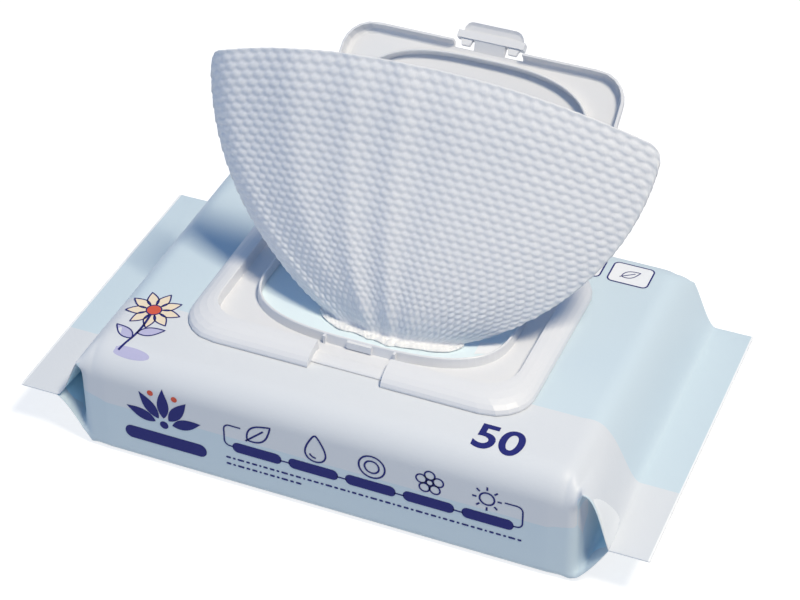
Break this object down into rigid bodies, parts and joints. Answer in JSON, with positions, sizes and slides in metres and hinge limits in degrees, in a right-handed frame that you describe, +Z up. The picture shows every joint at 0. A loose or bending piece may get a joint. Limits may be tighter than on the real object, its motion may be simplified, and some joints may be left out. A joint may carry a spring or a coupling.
{
  "type": "wet wipes pack",
  "caption": "Wet wipes pack: gusseted film pouch with flat end seals and an open flip-top plastic closure, an embossed wipe fanned out of the dispensing slot.",
  "frame": {"origin": "middle of the flat underside, on the surface the pack rests on", "axes": "+X along the pack to its right end as seen from the latch side, +Y from the latch side to the hinge side, +Z up"},
  "size_m": [0.24, 0.1691, 0.1469],
  "materials": {
    "printed_film": "pale blue printed plastic film, satin",
    "white_plastic": "white injection-moulded polypropylene, semi-gloss",
    "wipe_cloth": "white embossed nonwoven, moist"
  },
  "bodies": {
    "pack": {"film_pouch": "printed_film", "wipes_stack": "wipe_cloth", "pulled_wipe": "wipe_cloth", "lid_base": "white_plastic"},
    "lid": {"lid": "white_plastic"}
  },
  "joints": [
    {"name": "lid_hinge", "type": "hinge", "parent": "pack", "child": "lid", "pos_m": [0, 0.0406, 0.0501], "axis": [1, 0, 0], "range_deg": [0, 140], "deforming": ["pulled_wipe"]}
  ]
}
